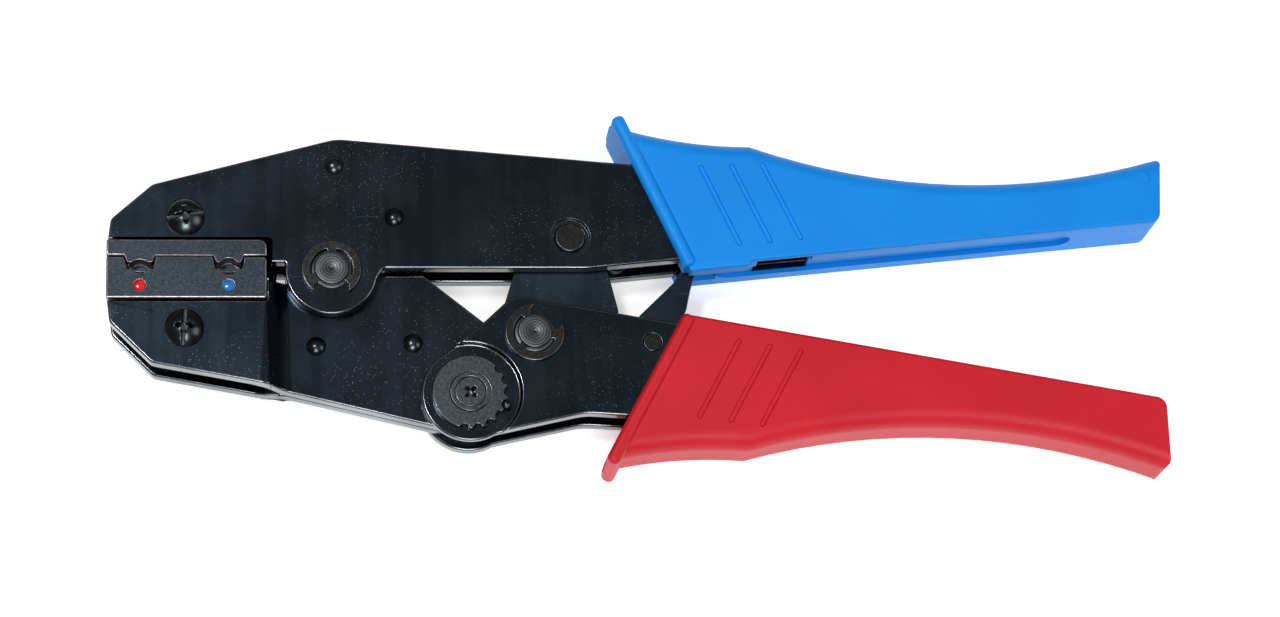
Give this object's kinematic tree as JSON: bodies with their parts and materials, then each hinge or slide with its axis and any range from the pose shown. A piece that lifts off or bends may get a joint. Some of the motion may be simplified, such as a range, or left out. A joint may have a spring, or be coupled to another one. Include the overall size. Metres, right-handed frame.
{
  "type": "ratcheting crimping pliers",
  "caption": "Ratcheting compound-lever crimping pliers with plate jaws, exchangeable crimp dies, a toothed toggle link with a release pawl, and moulded grips.",
  "frame": {"origin": "on the main pivot axis, at the rear face of the pivot pin's head, which is the plane that the tool rests on", "axes": "+X from the jaws towards the handle ends, +Y towards the fixed handle's side, +Z through the thickness towards the front face"},
  "size_m": [0.2186, 0.0749, 0.0167],
  "materials": {
    "black_steel": "glossy black oxide over rolled steel, finely scratched",
    "die_steel": "satin dark grey, fine milled",
    "pin_steel": "turned, blackened",
    "wheel_steel": "satin, blackened",
    "spring_steel": "dark spring steel",
    "blue_grip": "satin moulded plastic, blue",
    "red_grip": "satin moulded plastic, red",
    "red_enamel": "glossy enamel drop",
    "blue_enamel": "glossy enamel drop"
  },
  "bodies": {
    "frame": {"upper_plate_front": "black_steel", "upper_plate_rear": "black_steel", "upper_spacer": "black_steel", "upper_rivets": "black_steel", "upper_tang_spacer": "black_steel", "upper_tang_rivet": "black_steel", "upper_die": "die_steel", "upper_die_screw": "black_steel", "main_pivot_pin": "pin_steel", "main_pivot_clip": "spring_steel", "link_frame_pin": "pin_steel", "return_spring_anchor": "black_steel", "fixed_grip": "blue_grip"},
    "jaw": {"lower_plate_front": "black_steel", "lower_plate_rear": "black_steel", "lower_rivets": "black_steel", "lower_die": "die_steel", "lower_die_screw": "black_steel", "small_size_dot": "red_enamel", "large_size_dot": "blue_enamel"},
    "handle": {"handle_plate_front": "black_steel", "handle_plate_rear": "black_steel", "handle_tang_spacer": "black_steel", "handle_tang_rivet": "black_steel", "adjuster_pin": "pin_steel", "adjuster_wheel": "wheel_steel", "adjuster_screw": "black_steel", "adjuster_lock_screw": "black_steel", "handle_link_pin": "pin_steel", "handle_link_clip": "spring_steel", "pawl_pin": "pin_steel", "pawl_spring": "spring_steel", "pawl_spring_anchor": "black_steel", "moving_grip": "red_grip"},
    "link": {"toggle_link": "black_steel"},
    "pawl": {"ratchet_pawl": "black_steel"},
    "spring": {"return_spring": "spring_steel"}
  },
  "joints": [
    {"name": "jaw_pivot", "type": "hinge", "parent": "frame", "child": "jaw", "pos_m": [0, 0, 0.0082], "axis": [0, 0, 1], "range_deg": [0, 14]},
    {"name": "handle_pivot", "type": "hinge", "parent": "jaw", "child": "handle", "pos_m": [0.0278, -0.0258, 0.0082], "axis": [0, 0, 1], "range_deg": [-47.5, 0]},
    {"name": "link_pivot", "type": "hinge", "parent": "frame", "child": "link", "pos_m": [0.0487, 0.007, 0.0082], "axis": [0, 0, 1], "range_deg": [0, 29]},
    {"name": "return_spring_pivot", "type": "hinge", "parent": "frame", "child": "spring", "pos_m": [0.09523, 0.00909, 0.0082], "axis": [0, 0, 1], "range_deg": [-8, 0]},
    {"name": "pawl_pivot", "type": "hinge", "parent": "handle", "child": "pawl", "pos_m": [0.065, -0.0154, 0.0082], "axis": [0, 0, 1], "range_deg": [-8, 8], "stiffness_Nm_per_rad": 0.02}
  ],
  "couplings": [
    {"joint": "handle_pivot", "follows": "jaw_pivot", "ratio": -3.37},
    {"joint": "link_pivot", "follows": "jaw_pivot", "ratio": 2.05},
    {"joint": "return_spring_pivot", "follows": "jaw_pivot", "ratio": -0.56}
  ]
}
